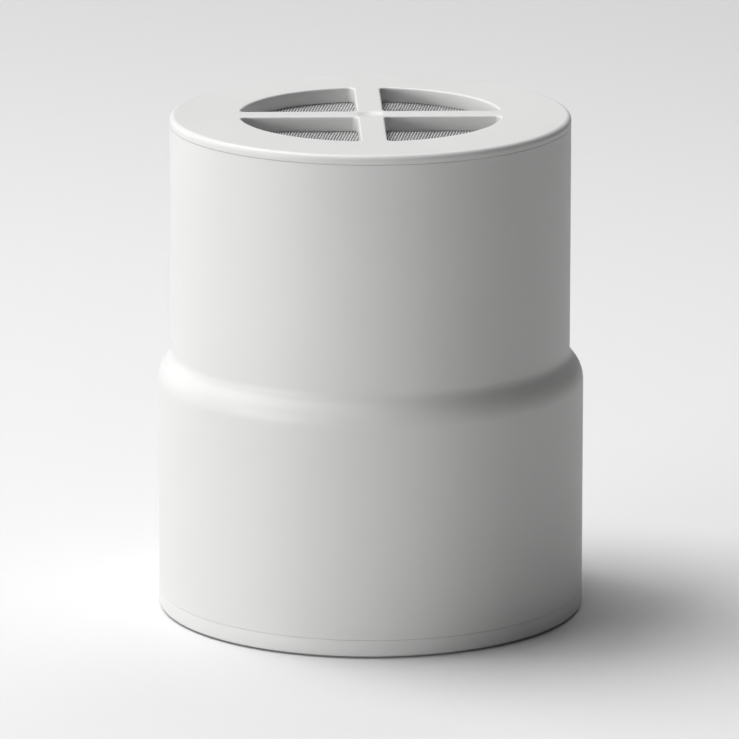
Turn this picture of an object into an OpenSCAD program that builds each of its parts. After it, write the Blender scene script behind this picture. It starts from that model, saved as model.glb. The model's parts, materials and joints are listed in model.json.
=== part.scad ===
// Tabletop air purifier: a stepped round housing that lifts off its base, with a
// cylindrical filter below, a fan above, and a cross-shaped outlet in the top cover.
// Millimetres. +Z is up, the origin is the centre of the footprint on the floor,
// and the controls, the power inlet and the intake slots face +Y.

/* [Body] */
// Outside diameter of the lower body and the base
body_d = 170; // [140:1:210]
// Overall height, floor to the top of the cover
total_h = 200; // [170:1:260]
// How far the lower body stands out from the upper body, on the radius
shoulder_step = 5.46; // [3:0.1:8]
// Height where the upper body starts to flare out
shoulder_z = 106; // [90:1:120]
// Radius of the hollow curve at the top of the shoulder
shoulder_hollow_r = 7; // [3:0.5:9]
// Radius of the round curve at the bottom of the shoulder
shoulder_round_r = 12; // [6:0.5:14]
// Slope of the shoulder between its two curves, from the vertical
shoulder_angle = 38; // [30:1:45]
// Wall of the outer shell
wall = 2.5; // [1.8:0.1:3.2]
// Visible gap between two outer mouldings
seam = 0.35; // [0.2:0.05:0.6]

/* [Top cover] */
// Visible height of the cover's edge
cover_edge_h = 3.4; // [2.8:0.1:5]
// Rounding of the cover's outer edge
cover_edge_r = 2; // [0.5:0.1:2.4]
// Plate thickness of the cover
cover_t = 2.8; // [2:0.1:4]
// Diameter of the round outlet
outlet_d = 104; // [84:1:110]
// Depth of the outlet's wall and of the cross
outlet_depth = 6; // [5:0.1:8]
// Width of each bar of the cross
bar_w = 10.4; // [6:0.1:16]
// Rounding of the corners of the four openings
corner_r = 2.5; // [1:0.1:4]
// Diameter of the dimple in the middle of the cross
dimple_d = 10.4; // [6:0.1:14]
// Depth of the dimple
dimple_depth = 1.3; // [0.4:0.1:1.6]
// Length of the skirt that plugs into the shell
skirt_h = 6; // [4:0.5:8]
// Thickness of the outlet mesh
mesh_t = 0.6; // [0.4:0.1:1.2]

/* [Base] */
// Visible height of the base
base_h = 6.6; // [5:0.1:10]
// Rounding of the base's lower edge
base_edge_r = 1.3; // [0.5:0.1:2]
// How far the rubber foot stands out below the base
foot_h = 0.6; // [0.4:0.1:2]
// Floor thickness of the base
base_floor = 2.4; // [2:0.1:3.5]
// Height of the spigot that fits inside the shell
spigot_h = 6; // [4:0.5:8]
// Diameter of the holding magnets
magnet_d = 8; // [5:0.5:9]
// Thickness of the holding magnets
magnet_h = 3; // [2:0.5:4]

/* [Filter] */
// Room for air between the filter and the shell
plenum = 17; // [15:0.5:24]
// Depth of the pleats, on the radius
pleat_depth = 21; // [12:0.5:26]
// Number of pleats
pleats = 60; // [36:1:72]
// Thickness of the pleated paper
paper_t = 0.7; // [0.5:0.1:1]
// Thickness of the carbon core's wall
carbon_t = 4; // [2:0.5:6]
// Thickness of each end cap
cap_t = 4; // [3:0.5:5]
// Thickness of the foam gasket
gasket_h = 2.4; // [1.5:0.1:4]

/* [Fan] */
// Room between the fan duct and the shell
duct_room = 17; // [15:0.5:20]
// Wall of the ducts
duct_wall = 2.4; // [1.8:0.1:3]
// Height of the fan duct
duct_h = 34; // [30:1:40]
// Height of the guide vane ring
vane_h = 20; // [14:1:24]
// Number of fan blades
blades = 7; // [5:1:9]
// Number of guide vanes
vanes = 9; // [7:1:11]
// Gap between the blade tips and the duct
tip_gap = 1.2; // [0.8:0.1:2]
// Diameter of the fan's hub
hub_d = 44; // [40:1:50]
// Diameter of the motor shaft
shaft_d = 4; // [3:0.5:5]
// Free radial gap between the shaft and its bearings
running_gap = 0.05; // [0.02:0.01:0.1]

/* [Intake and controls] */
// Width of one intake slot
slot_w = 2.6; // [1.6:0.1:3.2]
// Angle between two intake slots
slot_step = 5; // [4:0.5:7]
// Number of intake slots
slots = 25; // [9:2:27]
// Bottom of the intake slots
slot_z0 = 47; // [46:1:55]
// Diameter of the power button
button_d = 11; // [8:0.5:12]
// Travel of the power button
button_travel = 1.2; // [0.8:0.1:1.6]
// Height of the power button's axis
button_z = 34.5; // [33:0.5:36]
// Height of the power inlet's centre
inlet_z = 20.5; // [20:0.5:22]

/* [Hidden] */
$fn = 96;
// Overlap of two solids that are joined, and how far a cutter stands out past what it cuts
eps = 0.01;
cut = 1;
// Gaps: loose parts, parts that slide together, and parts that are pressed together
clear = 0.3;
slip = 0.05;
press = 0.02;
body_r = body_d / 2;
head_r = body_r - shoulder_step;
bore_r = body_r - wall;
head_bore_r = head_r - wall;

// Heights, from the floor up
base_z = foot_h;
base_top = base_z + base_h;
floor_top = base_z + base_floor;
spigot_top = base_top + spigot_h;
shell_z0 = base_top + seam;
cover_z = total_h - cover_edge_h;
shell_z1 = cover_z - seam;
shoulder_slope = (shoulder_step - (shoulder_hollow_r + shoulder_round_r) * (1 - cos(shoulder_angle)))
    / sin(shoulder_angle);
shoulder_h = (shoulder_hollow_r + shoulder_round_r) * sin(shoulder_angle)
    + shoulder_slope * cos(shoulder_angle);
shoulder_foot = shoulder_z - shoulder_h;

// Filter
filter_r = bore_r - plenum;
sleeve_t = 1;
seat_h = 2;
cap_lip = 1.2;
cap_grip = 2;
filter_z = floor_top + seat_h + clear;
deck_t = 3;
deck_z = shoulder_foot - 0.5 - deck_t;
deck_top = deck_z + deck_t;
filter_top = deck_z - clear - gasket_h;
pleat_r1 = filter_r - sleeve_t - 0.2;
pleat_r0 = pleat_r1 - pleat_depth;
core_r1 = pleat_r0 - 0.2;
core_r0 = core_r1 - carbon_t;
media_z = filter_z + cap_t;
media_h = filter_top - cap_t - media_z;
filter_mouth_r = core_r0 + 1;
locator_r = core_r0 - 6;

// Fan
duct_r1 = head_bore_r - duct_room;
duct_r0 = duct_r1 - duct_wall;
bush_h = 2;
bush_d = 8;
flange_t = 2.6;
flange_r = (bush_d + 1) / 2;
duct_z = deck_top + bush_h;
duct_top = duct_z + duct_h;
vane_top = duct_top + vane_h;
bush_r = duct_r1 + 4.6;
guard_t = 1.6;
guard_r = duct_r0 - 11;
gasket_r0 = guard_r + 2;
gasket_r1 = guard_r + 10;
inlet_r = guard_r - 2.4;
lip_h = 4;
impeller_z = duct_z + 5.5;
impeller_h = duct_h - 8;
shaft_z = impeller_z + 1;
tip_r = duct_r0 - tip_gap;
hub_r = hub_d / 2;
hub_wall = 2;
hub_floor = 2.4;
cup_t = 1.5;
blade_root = 0.6;
cup_r = hub_r - hub_wall;
rotor_magnet_t = 2;
rotor_magnet_r = cup_r - cup_t;
air_gap = 0.5;
lamination_r = rotor_magnet_r - rotor_magnet_t - air_gap;
shaft_r = shaft_d / 2;
bearing_h = 3;
bearing_r = shaft_r + running_gap + 1.9;
tube_r = bearing_r + 1.3;
tube_z = impeller_z + hub_floor + cup_t + 2;
motor_plate_t = 3;
teeth = 9;
core_h = impeller_h - hub_floor - cup_t - 10;
ear_r = 3.4;
ear_h = 5;
ear_at = duct_r1 + 2.6;
ear_a0 = 22.5;
screw_r = 1.4;
screw_hole_r = screw_r + slip;
screw_pass_r = screw_r + clear;
screw_head_r = 2.8;
screw_head_h = 1.8;

// Outlet and cover
outlet_r = outlet_d / 2;
lip_z = total_h - outlet_depth;
rim_w = 2.5;
mesh_r = outlet_r + rim_w + 2.2;
boss_r = 3.4;
cover_boss_r = mesh_r + boss_r + 0.5;
retainer_t = 2;
retainer_top = lip_z - mesh_t;
retainer_z = retainer_top - retainer_t;
retainer_screw_r = 1.2;
retainer_screw_l = 6.5;
cover_under = total_h - cover_t;
skirt_t = 2.5;
skirt_r = head_bore_r - clear;
ring_r = 0.9;
ring_seat_r = skirt_r - 0.75;
ring_z = cover_z - skirt_h / 2 + 0.4;
outlet_duct_top = retainer_z - 1;
outlet_flange_z = cover_z - skirt_h - 4.4;
outlet_flange_t = 2;
outlet_boss_h = 12;
outlet_boss_at = head_bore_r - 6.6;
outlet_duct_r = min(outlet_r + 2, duct_r0);

// Controls, at the back, where y is measured along the radius
pcb_t = 1.6;
pcb_y = bore_r - 11;
pcb_w = 32;
pcb_z0 = spigot_top + 1.6;
pcb_h = 28;
usb_w = 8.94;
usb_h = 3.26;
usb_face = body_r - 0.35;
usb_len = 7.4;
usb_mouth_y = usb_face - usb_len;
button_r = button_d / 2;
button_gap = 0.3;
button_len = 6;
button_face = body_r - 0.2;
lens_r = 1.1;
lens_z = (button_z - button_r + inlet_z + usb_h / 2) / 2 + 0.2;
slot_z1 = shoulder_foot - 7;
cable_d = 3;

// ---------- shared shapes ----------

// Points of an arc about c, from angle a0 to angle a1
function arc(c, r, a0, a1, n = 12) =
    [for (i = [0:n]) let (a = a0 + (a1 - a0) * i / n) [c[0] + r * cos(a), c[1] + r * sin(a)]];

// The shoulder's outline from its top to its foot, moved inwards by inset
function shoulder_points(inset) = concat(
    arc([head_r + shoulder_hollow_r, shoulder_z], shoulder_hollow_r + inset, 180, 180 + shoulder_angle),
    arc([body_r - shoulder_round_r, shoulder_foot], shoulder_round_r - inset, shoulder_angle, 0)
);

module ring(r0, r1, h, z = 0) {
    translate([0, 0, z]) difference() {
        cylinder(r = r1, h = h);
        translate([0, 0, -1]) cylinder(r = r0, h = h + 2);
    }
}

// Copies round the Z axis, the first at angle a0
module around(n, r, a0 = 0) {
    for (i = [0:n - 1]) rotate(a0 + i * 360 / n) translate([r, 0, 0]) children();
}

// A pan-head screw with its head on top, the underside of the head at z = 0
module screw(shank_r, shank_l, pan_r = screw_head_r, pan_h = screw_head_h) {
    straight_h = pan_h * 0.6;
    drive_w = 0.7;
    difference() {
        union() {
            cylinder(r = pan_r, h = straight_h);
            translate([0, 0, straight_h]) cylinder(r1 = pan_r, r2 = pan_r * 0.7, h = pan_h - straight_h);
            translate([0, 0, -shank_l]) cylinder(r = shank_r, h = shank_l + eps);
        }
        for (a = [0, 90]) rotate(a)
            translate([-pan_r * 0.55, -drive_w / 2, pan_h * 0.45]) cube([pan_r * 1.1, drive_w, pan_h]);
    }
}

// A curved blade from radius r0 to r1 and z0 to z1. Its angle runs from 0 at the bottom to turn0 at r0,
// or turn1 at r1, and it is thinner at its lower and upper edges.
module blade(r0, r1, z0, z1, turn0, turn1, t, nr = 4, nz = 7) {
    function lean(u, v) = (turn0 + (turn1 - turn0) * u) * (v * 1.5 - v * v * 0.5);
    function skin(u, v, side) =
        let (r = r0 + (r1 - r0) * u, z = z0 + (z1 - z0) * v, a = lean(u, v),
             half = side * t / 2 * (0.45 + 0.55 * sin(180 * min(max(v, 0.08), 0.92))))
        [r * cos(a) - half * sin(a), r * sin(a) + half * cos(a), z];
    points = [for (side = [-1, 1]) for (i = [0:nr]) for (j = [0:nz]) skin(i / nr, j / nz, side)];
    n1 = nz + 1;
    n2 = (nr + 1) * n1;
    function quad(a, b, c, d) = [[a, b, c], [a, c, d]];
    faces = concat(
        [for (i = [0:nr - 1]) for (j = [0:nz - 1])
            each quad(i * n1 + j, i * n1 + j + 1, (i + 1) * n1 + j + 1, (i + 1) * n1 + j)],
        [for (i = [0:nr - 1]) for (j = [0:nz - 1])
            let (b = n2 + i * n1 + j) each quad(b, b + n1, b + n1 + 1, b + 1)],
        [for (j = [0:nz - 1]) each quad(j, n2 + j, n2 + j + 1, j + 1)],
        [for (j = [0:nz - 1])
            each quad(nr * n1 + j, nr * n1 + j + 1, n2 + nr * n1 + j + 1, n2 + nr * n1 + j)],
        [for (i = [0:nr - 1]) each quad(i * n1, (i + 1) * n1, n2 + (i + 1) * n1, n2 + i * n1)],
        [for (i = [0:nr - 1])
            each quad(i * n1 + nz, n2 + i * n1 + nz, n2 + (i + 1) * n1 + nz, (i + 1) * n1 + nz)]
    );
    polyhedron(points, faces);
}

// A stadium outline, w wide and h tall, centred
module stadium(w, h) {
    d = min(w, h);
    span = max(w, h) - d;
    along = w > h ? [1, 0] : [0, 1];
    square([along[0] * span + (1 - along[0]) * d, along[1] * span + (1 - along[1]) * d], center = true);
    for (s = [-1, 1]) translate(along * s * span / 2) circle(d = d);
}

// Lays a shape drawn in the XY plane at the back, from y = depth outwards
module at_back(depth, z, h) {
    translate([0, depth, z]) rotate([-90, 0, 0]) linear_extrude(h) mirror([0, 1]) children();
}

// ---------- base ----------

magnet_post_r = magnet_d / 2 + 2;
magnet_at = bore_r - clear - wall - magnet_post_r + 1.4;
magnet_a0 = 45;
magnet_top = spigot_top - 0.4;
post_root = base_z + 1;
foot_r0 = body_r - 24;
foot_r1 = body_r - 12;
foot_pocket = 1.4;
locator_t = 2;
locator_top = filter_z + 1.6;

module base_tray() {
    color("whitesmoke") difference() {
        union() {
            rotate_extrude() polygon(concat(
                [[0, base_z]],
                arc([body_r - base_edge_r, base_z + base_edge_r], base_edge_r, -90, 0),
                [[body_r, base_top], [bore_r - clear, base_top], [bore_r - clear, spigot_top],
                 [bore_r - clear - wall, spigot_top], [bore_r - clear - wall, floor_top], [0, floor_top]]
            ));
            around(4, magnet_at, magnet_a0) translate([0, 0, post_root])
                cylinder(r = magnet_post_r, h = magnet_top - post_root);
            ring(locator_r - locator_t, locator_r, locator_top - post_root, post_root);
        }
        around(4, magnet_at, magnet_a0) translate([0, 0, magnet_top - magnet_h])
            cylinder(d = magnet_d + 2 * slip, h = magnet_h + cut);
        translate([0, 0, base_z - eps]) ring(foot_r0 - 2 * slip, foot_r1 + 2 * slip, foot_pocket + eps);
    }
}

module rubber_foot() {
    color("dimgray") ring(foot_r0, foot_r1, foot_h + foot_pocket);
}

module base_magnets() {
    color("silver") around(4, magnet_at, magnet_a0) translate([0, 0, magnet_top - magnet_h])
        cylinder(d = magnet_d, h = magnet_h - 2 * slip);
}

module filter_seat() {
    color("dimgray") ring(filter_r - 12, filter_r - 4, seat_h, floor_top);
}

// ---------- filter ----------

module filter_bottom_cap() {
    color("darkseagreen") difference() {
        union() {
            translate([0, 0, filter_z]) cylinder(r = filter_r, h = cap_t);
            ring(filter_r, filter_r + cap_lip, cap_t + cap_grip, filter_z);
        }
        translate([0, 0, filter_z - cut]) cylinder(r = locator_r + 0.5, h = cut + cap_t - 1);
    }
}

module filter_top_cap() {
    color("darkseagreen") {
        ring(filter_mouth_r, filter_r + cap_lip, cap_t, filter_top - cap_t);
        ring(filter_r, filter_r + cap_lip, cap_grip + eps, filter_top - cap_t - cap_grip);
    }
}

module filter_pleats() {
    half = 180 / pleats;
    function zigzag(r_in, r_out) =
        [for (i = [0:2 * pleats - 1]) let (a = i * half, r = i % 2 == 0 ? r_out : r_in)
            [r * cos(a), r * sin(a)]];
    // A fold is thicker along the radius than across it, and more so at its outer end
    inner_fold = 2 * paper_t;
    outer_fold = 6 * paper_t;
    color("white") translate([0, 0, media_z]) linear_extrude(media_h) difference() {
        polygon(zigzag(pleat_r0 + inner_fold, pleat_r1));
        polygon(zigzag(pleat_r0, pleat_r1 - outer_fold));
    }
}

module prefilter_sleeve() {
    color("gainsboro") ring(filter_r - sleeve_t, filter_r, media_h, media_z);
}

module carbon_core() {
    color("dimgray") ring(core_r0, core_r1, media_h, media_z);
}

module filter_gasket() {
    color("dimgray") ring(gasket_r0, gasket_r1, gasket_h, filter_top);
}

tab_w = 16;
tab_t = 0.8;
tab_reach = 13;

module filter_pull_tab() {
    color("steelblue") translate([0, -(gasket_r1 + 1), filter_top]) {
        translate([-tab_w / 2, -tab_reach, 0]) cube([tab_w, tab_reach, tab_t]);
        translate([0, -tab_reach, 0]) intersection() {
            cylinder(d = tab_w, h = tab_t);
            translate([-tab_w, -tab_w + eps, -cut]) cube([2 * tab_w, tab_w, tab_t + 2 * cut]);
        }
    }
}

// ---------- housing ----------

keeper_t = 1.5;
keeper_z = spigot_top + clear;
lug_h = 6;
deck_boss_at = head_bore_r - 4;
deck_boss_r = 4.2;
deck_boss_top = shoulder_z - 3;
deck_screw_l = 10;
outlet_screw_l = 10;
socket_w = usb_w + 3;
socket_h = usb_h + 3;
socket_recess = 0.9;

module shell_profile() {
    polygon(concat(
        [[head_r, shell_z1]], shoulder_points(0), [[body_r, shell_z0], [bore_r, shell_z0]],
        [for (i = [25:-1:0]) shoulder_points(wall)[i]],
        [[head_bore_r, shell_z1]]
    ));
}

// A post inside the shell with a rib out to its wall
module wall_post(at, r, h, reach) {
    translate([at, 0, 0]) cylinder(r = r, h = h);
    translate([at, -r * 0.6, 0]) cube([reach - at, r * 1.2, h]);
}

// Cuts a shape through the shell's wall at the back, at height z
module through_wall(z) {
    at_back(bore_r - 2, z, wall + 4) children();
}

module intake_slots() {
    for (i = [0:slots - 1]) rotate((i - (slots - 1) / 2) * slot_step)
        through_wall((slot_z0 + slot_z1) / 2) stadium(slot_w, slot_z1 - slot_z0);
}

module outer_shell() {
    color("whitesmoke") difference() {
        union() {
            rotate_extrude() shell_profile();
            for (i = [0:3]) rotate(magnet_a0 + i * 90) {
                translate([0, 0, keeper_z]) wall_post(magnet_at, magnet_post_r, lug_h, bore_r + wall / 2);
                translate([0, 0, deck_top])
                    wall_post(deck_boss_at, deck_boss_r, deck_boss_top - deck_top, head_bore_r + wall / 2);
                translate([0, 0, outlet_flange_z - outlet_boss_h])
                    wall_post(outlet_boss_at, boss_r, outlet_boss_h, head_bore_r + wall / 2);
            }
        }
        intake_slots();
        for (i = [0:3]) rotate(magnet_a0 + i * 90) {
            translate([magnet_at, 0, keeper_z - cut]) cylinder(d = magnet_d + 2 * slip, h = keeper_t + cut);
            translate([deck_boss_at, 0, deck_top - cut])
                cylinder(r = screw_hole_r, h = deck_screw_l - deck_t + 2 * cut);
            translate([outlet_boss_at, 0, outlet_flange_z - outlet_screw_l + 1])
                cylinder(r = screw_hole_r, h = outlet_screw_l);
        }
        through_wall(button_z) circle(r = button_r + button_gap);
        through_wall(lens_z) circle(r = lens_r + slip);
        through_wall(inlet_z) stadium(usb_w + 2 * slip, usb_h + 2 * slip);
        at_back(body_r - socket_recess, inlet_z, socket_recess + cut) stadium(socket_w, socket_h);
    }
}

module keeper_plates() {
    color("silver") around(4, magnet_at, magnet_a0) translate([0, 0, keeper_z])
        cylinder(d = magnet_d, h = keeper_t - 2 * slip);
}

grommet_at = bore_r - 8;
grommet_r = 4;

module fan_deck() {
    color("gainsboro") difference() {
        union() {
            translate([0, 0, deck_z]) cylinder(r = bore_r - clear, h = deck_t);
            ring(guard_r + 0.8, guard_r + 3, lip_h, deck_top - eps);
        }
        translate([0, 0, deck_top - guard_t]) cylinder(r = guard_r + 0.2, h = guard_t + cut);
        translate([0, 0, deck_z - cut]) {
            cylinder(r = inlet_r, h = deck_t + 2 * cut);
            around(4, deck_boss_at, magnet_a0) cylinder(r = screw_pass_r, h = deck_t + 2 * cut);
            around(4, bush_r) cylinder(r = screw_hole_r, h = deck_t + 2 * cut);
            translate([0, grommet_at, 0]) cylinder(r = grommet_r, h = deck_t + 2 * cut);
        }
    }
}

module deck_screws() {
    color("silver") around(4, deck_boss_at, magnet_a0) translate([0, 0, deck_z]) mirror([0, 0, 1])
        screw(screw_r, deck_screw_l);
}

module inlet_guard() {
    rings = 4;
    bar = 1.6;
    color("dimgray") {
        for (i = [1:rings]) let (r = guard_r * i / rings) ring(r - bar, r, guard_t, deck_top - guard_t);
        difference() {
            for (a = [0:60:179]) rotate(a) translate([-guard_r + bar / 2, -bar / 2, deck_top - guard_t])
                cube([2 * guard_r - bar, bar, guard_t]);
            translate([0, 0, deck_top - guard_t - cut])
                cylinder(r = guard_r / rings - bar / 2, h = guard_t + 2 * cut);
        }
    }
}

module duct_gasket() {
    color("dimgray") ring(duct_r0 + 0.2, duct_r1 - 0.2, bush_h, deck_top);
}

module duct_bushes() {
    color("dimgray") around(4, bush_r) ring(screw_hole_r, bush_d / 2, bush_h, deck_top);
}

// The four ears that join the fan duct and the guide vane ring
module ears(z, hole) {
    around(4, ear_at, ear_a0) translate([0, 0, z]) difference() {
        union() {
            cylinder(r = ear_r, h = ear_h);
            translate([-ear_r - 0.6, -ear_r, 0]) cube([ear_r + 0.6, 2 * ear_r, ear_h]);
        }
        translate([0, 0, -cut]) cylinder(r = hole, h = ear_h + 2 * cut);
    }
}

module fan_duct() {
    color("gainsboro") difference() {
        union() {
            translate([0, 0, duct_z]) cylinder(r = duct_r1, h = duct_h);
            around(4, bush_r) translate([0, 0, duct_z]) {
                cylinder(r = flange_r, h = flange_t);
                translate([-2 * flange_r, -flange_r, 0]) cube([2 * flange_r, 2 * flange_r, flange_t]);
            }
            ears(duct_top - ear_h, screw_hole_r);
        }
        translate([0, 0, duct_z - cut]) {
            cylinder(r = duct_r0, h = duct_h + 2 * cut);
            around(4, bush_r) cylinder(r = screw_pass_r, h = flange_t + 2 * cut);
        }
    }
}

module duct_screws() {
    color("silver") around(4, bush_r) translate([0, 0, duct_z + flange_t])
        screw(screw_r, flange_t + bush_h + deck_t - 0.5);
}

module acoustic_foam() {
    foam_z = duct_z + flange_t + screw_head_h + 1;
    foam_t = 7.7;
    color("dimgray") ring(duct_r1 + clear, duct_r1 + clear + foam_t, duct_top - ear_h - 1 - foam_z, foam_z);
}

module guide_vanes() {
    vane_gap = 1;
    color("gainsboro") {
        ring(duct_r0, duct_r1, vane_h, duct_top);
        ears(duct_top, screw_pass_r);
        difference() {
            union() {
                translate([0, 0, duct_top]) cylinder(r = hub_r, h = vane_h);
                translate([0, 0, tube_z]) cylinder(r = tube_r, h = duct_top - tube_z + eps);
            }
            translate([0, 0, duct_top + motor_plate_t]) cylinder(r = cup_r, h = vane_h);
            translate([0, 0, tube_z - cut])
                cylinder(r = bearing_r + press, h = duct_top - tube_z + motor_plate_t + 2 * cut);
        }
        for (i = [0:vanes - 1]) rotate(i * 360 / vanes)
            blade(hub_r - blade_root, duct_r0 + blade_root, duct_top + vane_gap, vane_top - vane_gap,
                  -26, -14, 2, 3, 6);
    }
}

module vane_screws() {
    color("silver") around(4, ear_at, ear_a0) translate([0, 0, duct_top + ear_h])
        screw(screw_r, 2 * ear_h - 1, 2.6);
}

module hub_cone() {
    cone_h = 8;
    plug_h = 3;
    plug_r = cup_r - 0.2;
    color("gainsboro") rotate_extrude() polygon(concat(
        [[0, vane_top - plug_h], [plug_r, vane_top - plug_h], [plug_r, vane_top], [hub_r, vane_top]],
        [for (i = [1:9]) [hub_r * cos(i * 10), vane_top + cone_h * sin(i * 10)]]
    ));
}

core_z = tube_z + 2;
yoke_r = lamination_r * 0.55;
tooth_r = lamination_r - 1.5;
tooth_w = 1.8;
coil_t = 0.6;

module motor_core() {
    shoe_angle = 28;
    color("silver") translate([0, 0, core_z]) {
        ring(tube_r + slip, yoke_r, core_h);
        for (i = [0:teeth - 1]) rotate(i * 360 / teeth) {
            translate([yoke_r - 0.3, -tooth_w / 2, 2 * slip])
                cube([tooth_r - yoke_r + 0.6, tooth_w, core_h - 4 * slip]);
            rotate(-shoe_angle / 2) rotate_extrude(angle = shoe_angle)
                translate([tooth_r, 0]) square([lamination_r - tooth_r, core_h]);
        }
    }
}

// One winding round each tooth of the core
module motor_coils() {
    winding_l = tooth_r - yoke_r - 1.3;
    color("peru") around(teeth, yoke_r + 0.8) translate([0, 0, core_z]) difference() {
        translate([0, -tooth_w / 2 - coil_t, -coil_t])
            cube([winding_l, tooth_w + 2 * coil_t, core_h + 2 * coil_t]);
        translate([-cut, -tooth_w / 2 - slip, -slip])
            cube([winding_l + 2 * cut, tooth_w + 2 * slip, core_h + 2 * slip]);
    }
}

module motor_board() {
    board_t = 1;
    color("darkgreen") ring(tube_r + 0.2, lamination_r - 1, board_t, duct_top - board_t);
}

module motor_bearings() {
    color("silver") for (z = [tube_z + 0.5, duct_top - bearing_h])
        ring(shaft_r + running_gap, bearing_r, bearing_h, z);
}

module outlet_duct() {
    outer = outlet_duct_r + duct_wall;
    straight_h = 4;
    color("gainsboro") difference() {
        rotate_extrude() polygon([
            [duct_r0, vane_top], [duct_r1, vane_top], [duct_r1, vane_top + straight_h],
            [outer, outlet_flange_z - straight_h], [outer, outlet_flange_z],
            [skirt_r, outlet_flange_z], [skirt_r, outlet_flange_z + outlet_flange_t],
            [outer, outlet_flange_z + outlet_flange_t], [outer, outlet_duct_top],
            [outlet_duct_r, outlet_duct_top], [outlet_duct_r, outlet_flange_z - straight_h],
            [duct_r0, vane_top + straight_h]
        ]);
        around(4, outlet_boss_at, magnet_a0) translate([0, 0, outlet_flange_z - cut])
            cylinder(r = screw_pass_r, h = outlet_flange_t + 2 * cut);
    }
}

module outlet_screws() {
    color("silver") around(4, outlet_boss_at, magnet_a0)
        translate([0, 0, outlet_flange_z + outlet_flange_t]) screw(screw_r, outlet_screw_l);
}

// ---------- controls ----------

pcb_front = pcb_y + pcb_t;
bracket_z = button_z + 3.4;
bracket_h = pcb_z0 + pcb_h - bracket_z;
bracket_floor = 2.5;
board_screw_r = 1;
board_screw_l = 5;

// The two screw places of the control board, with +Z along +Y
module at_board_screws() {
    for (s = [-1, 1]) translate([s * (pcb_w / 2 - 3), pcb_y, bracket_z + bracket_h / 2])
        rotate([-90, 0, 0]) children();
}

module board_bracket() {
    color("gainsboro") difference() {
        intersection() {
            translate([-pcb_w / 2 - 3, pcb_front, bracket_z])
                cube([pcb_w + 6, bore_r - pcb_front, bracket_h]);
            translate([0, 0, pcb_z0]) cylinder(r = bore_r - slip, h = pcb_h + cut);
        }
        translate([-pcb_w / 2 + 6, pcb_front + bracket_floor, pcb_z0])
            cube([pcb_w - 12, bore_r - pcb_front, pcb_h + cut]);
        at_board_screws() translate([0, 0, -cut]) cylinder(r = board_screw_r + slip, h = board_screw_l + 3);
    }
}

module control_board() {
    color("darkgreen") difference() {
        translate([-pcb_w / 2, pcb_y, pcb_z0]) cube([pcb_w, pcb_t, pcb_h]);
        at_board_screws() translate([0, 0, -cut]) cylinder(r = board_screw_r + clear, h = pcb_t + 2 * cut);
    }
}

module board_chips() {
    color("black") translate([0, pcb_y, pcb_z0]) {
        translate([-4, -1.2, 9]) cube([7, 1.2, 7]);
        translate([6, -2.6, 4]) cube([5, 2.6, 5]);
        for (z = [4, 11, 18]) translate([-11, 0, z]) rotate([90, 0, 0]) cylinder(d = 5, h = 4.4);
        for (x = [-5, -1, 3]) translate([x, -0.8, 3]) cube([1.6, 0.8, 2.6]);
    }
}

module board_screws() {
    color("silver") at_board_screws() mirror([0, 0, 1]) screw(board_screw_r, board_screw_l, 2, 1.2);
}

module tact_switch() {
    switch_w = 6;
    switch_h = button_face - button_len - button_travel - clear - pcb_front;
    color("dimgray") translate([0, pcb_front, button_z]) {
        translate([-switch_w / 2, 0, -switch_w / 2]) cube([switch_w, switch_h * 0.6, switch_w]);
        rotate([-90, 0, 0]) cylinder(r = 1.7, h = switch_h);
    }
}

module usb_socket() {
    metal_t = 0.3;
    color("silver") difference() {
        at_back(pcb_front, inlet_z, usb_face - pcb_front) stadium(usb_w, usb_h);
        at_back(usb_mouth_y, inlet_z, usb_face - usb_mouth_y + cut)
            stadium(usb_w - 2 * metal_t, usb_h - 2 * metal_t);
    }
}

module usb_tongue() {
    color("black") at_back(usb_mouth_y, inlet_z, usb_len - 0.8) square([6.7, 0.7], center = true);
}

module status_lens() {
    lens_y = pcb_front + 0.4;
    color("white") at_back(lens_y, lens_z, body_r - clear - lens_y) circle(r = lens_r);
}

// Route of the fan's lead, from the board up to the guide vane ring
plug_size = [8, 4, 6];
plug_at = [6, pcb_y - plug_size[1] / 2, pcb_z0 + pcb_h - 7];
socket_y = duct_r1 + plug_size[1] / 2 + 0.1;
socket_z = duct_top + 11;
cable_route = [
    [plug_at[0], plug_at[1], plug_at[2] + plug_size[2] / 2 + slip],
    [plug_at[0], plug_at[1], plug_at[2] + plug_size[2] / 2 + 3],
    [plug_at[0], pcb_y - 1.6, 48],
    [5, pcb_y, 54],
    [3, pcb_y + 1.5, 61],
    [1, grommet_at - 0.5, 69],
    [0, grommet_at, 77],
    [0, grommet_at, deck_z - 2],
    [0, grommet_at, deck_top + 3],
    [0, grommet_at - 1, deck_top + 12],
    [0, grommet_at - 2, deck_top + 22],
    [0, grommet_at - 3.4, deck_top + 31],
    [0, grommet_at - 6.4, deck_top + 37],
    [0, socket_y + 2.4, socket_z - 8],
    [0, socket_y, socket_z - 5.5],
    [0, socket_y, socket_z - plug_size[2] / 2 - slip]
];

module sweep(path, r, sides) {
    n = len(path);
    function unit(v) = v / norm(v);
    function heading(i) = unit(path[min(i + 1, n - 1)] - path[max(i - 1, 0)]);
    function across(i) = unit(cross(heading(i), [1, 0.02, 0]));
    points = [for (i = [0:n - 1]) let (u = across(i), v = cross(heading(i), u))
        for (k = [0:sides - 1]) path[i] + r * (cos(k * 360 / sides) * u + sin(k * 360 / sides) * v)];
    sides_faces = [for (i = [0:n - 2]) for (k = [0:sides - 1]) let (m = (k + 1) % sides)
        each [[i * sides + k, (i + 1) * sides + k, (i + 1) * sides + m],
              [i * sides + k, (i + 1) * sides + m, i * sides + m]]];
    polyhedron(points, concat(sides_faces,
        [[for (k = [0:sides - 1]) k]],
        [[for (k = [sides - 1:-1:0]) (n - 1) * sides + k]]));
}

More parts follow.
